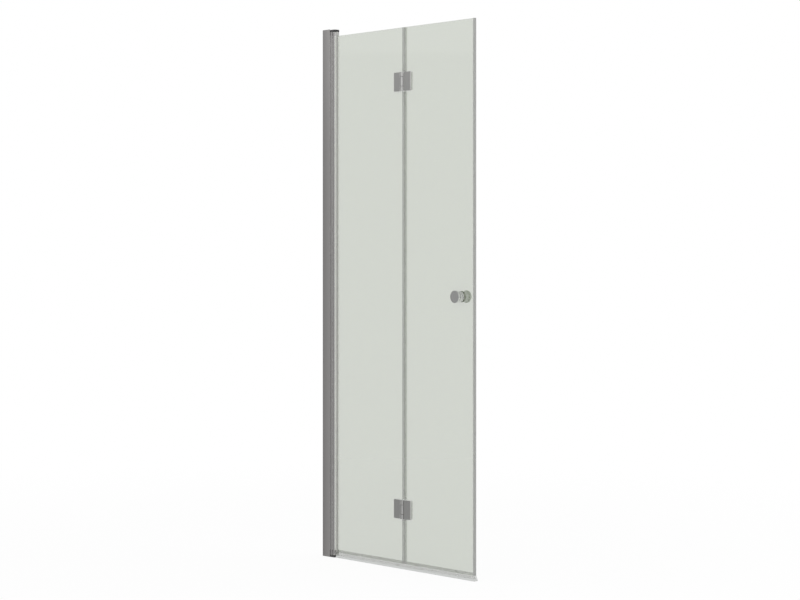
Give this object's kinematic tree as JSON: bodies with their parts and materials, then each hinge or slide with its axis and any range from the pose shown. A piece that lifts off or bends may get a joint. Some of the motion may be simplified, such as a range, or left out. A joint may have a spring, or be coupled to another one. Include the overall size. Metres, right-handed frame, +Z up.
{
  "type": "bifold shower door",
  "caption": "Folding glass shower door with a wall channel, a turning stile, clamp hinges at the fold, clear seals, a low threshold bar and round knobs.",
  "frame": {"origin": "on the wall face of the wall channel, at floor level, on the centre line of the closed glass", "axes": "+X from the wall to the free edge along the closed door, +Y into the shower, +Z up; the viewer of the picture stands on the -Y side"},
  "size_m": [0.775, 0.06, 1.9],
  "materials": {
    "profile_aluminium": "satin anodised extrusion",
    "threshold_aluminium": "bright anodised bar",
    "threshold_plastic": "moulded end cap",
    "black_plastic": "moulded, fine grain",
    "grey_plastic": "moulded, fine grain",
    "steel": "stainless",
    "white_nylon": "turned nylon",
    "glazing_rubber": "matt grey strip",
    "glass": "clear toughened glass",
    "clear_seal": "clear soft extrusion",
    "clear_washer": "soft sheet",
    "hinge_metal": "satin chrome casting",
    "knob_metal": "satin chrome turning"
  },
  "bodies": {
    "wall_frame": {"wall_channel": "profile_aluminium", "channel_cap": "black_plastic", "adjusting_profile": "profile_aluminium", "adjusting_screws": "steel", "screw_covers": "grey_plastic", "top_bracket": "black_plastic", "bottom_bracket": "black_plastic", "bracket_screws": "steel", "top_pivot_pin": "steel", "bottom_pivot_pin": "steel", "threshold_bar": "threshold_aluminium", "threshold_end_cap": "threshold_plastic"},
    "panel_1": {"pivot_stile": "profile_aluminium", "top_stile_plug": "grey_plastic", "bottom_stile_plug": "grey_plastic", "plug_screws": "steel", "top_pivot_bush": "white_nylon", "bottom_pivot_bush": "white_nylon", "glazing_gasket": "glazing_rubber", "glass_panel_1": "glass", "bottom_seal_1": "clear_seal", "upper_leaf_1": "hinge_metal", "lower_leaf_1": "hinge_metal", "upper_clamp_plate_1": "hinge_metal", "lower_clamp_plate_1": "hinge_metal", "hinge_gaskets_1": "clear_washer", "hinge_screws_1": "steel", "hinge_bushes": "white_nylon"},
    "panel_2": {"upper_leaf_2": "hinge_metal", "lower_leaf_2": "hinge_metal", "upper_clamp_plate_2": "hinge_metal", "lower_clamp_plate_2": "hinge_metal", "hinge_gaskets_2": "clear_washer", "hinge_screws_2": "steel", "hinge_pins": "steel", "hinge_washers": "black_plastic", "glass_panel_2": "glass", "fold_seal": "clear_seal", "edge_seal": "clear_seal", "bottom_seal_2": "clear_seal", "outer_knob": "knob_metal", "inner_knob": "knob_metal", "knob_stud": "steel", "knob_bush": "clear_washer", "knob_washers": "clear_washer", "knob_set_screws": "steel"}
  },
  "joints": [
    {"name": "wall_pivot", "type": "hinge", "parent": "wall_frame", "child": "panel_1", "pos_m": [0.0575, 0, 0.95], "axis": [0, 0, 1], "range_deg": [0, 90]},
    {"name": "fold_hinge", "type": "hinge", "parent": "panel_1", "child": "panel_2", "pos_m": [0.419, -0.0091, 0.95], "axis": [0, 0, -1], "range_deg": [0, 170]}
  ]
}
